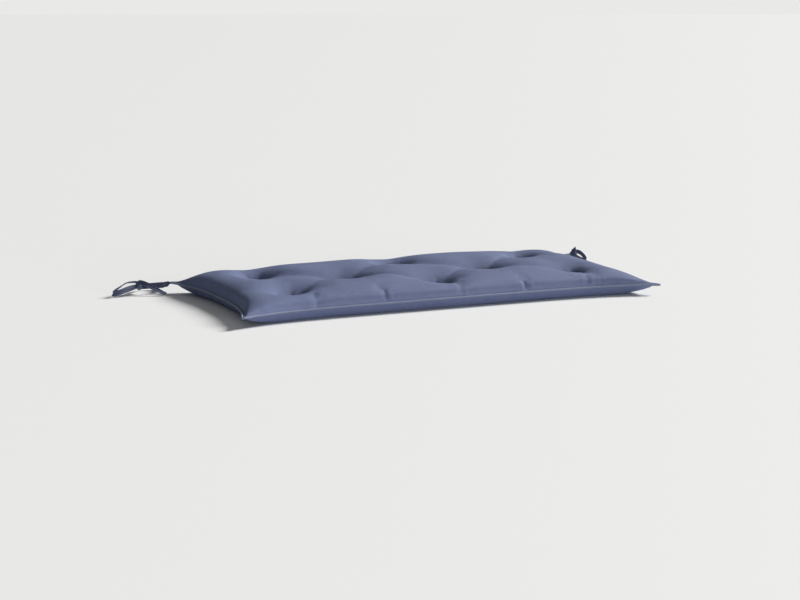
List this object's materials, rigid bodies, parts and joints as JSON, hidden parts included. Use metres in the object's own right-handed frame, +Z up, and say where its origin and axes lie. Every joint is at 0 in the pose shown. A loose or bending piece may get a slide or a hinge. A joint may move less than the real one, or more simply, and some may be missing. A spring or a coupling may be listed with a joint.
{
  "type": "bench cushion",
  "caption": "Long tufted seat cushion for a bench, with drawn-in sides, pointed corners, a piped edge and fabric ties at the back corners.",
  "frame": {"origin": "middle of the flat underside, on the surface the cushion lies on", "axes": "+X along the bench, the cushion's long side; +Y towards the bench's back, where the ties are; +Z up, out of the tufted face"},
  "size_m": [1.2294, 0.5494, 0.0662],
  "materials": {
    "fabric": "matt dark blue woven cloth with a soft sheen",
    "piping_fabric": "the same cloth on the bias over a thin core, paler on its crown",
    "tie_fabric": "flat woven tape, dark blue"
  },
  "bodies": {
    "root": {"cushion_body": "fabric", "edge_piping": "piping_fabric", "tie_left": "tie_fabric", "tie_right": "tie_fabric"}
  },
  "joints": []
}
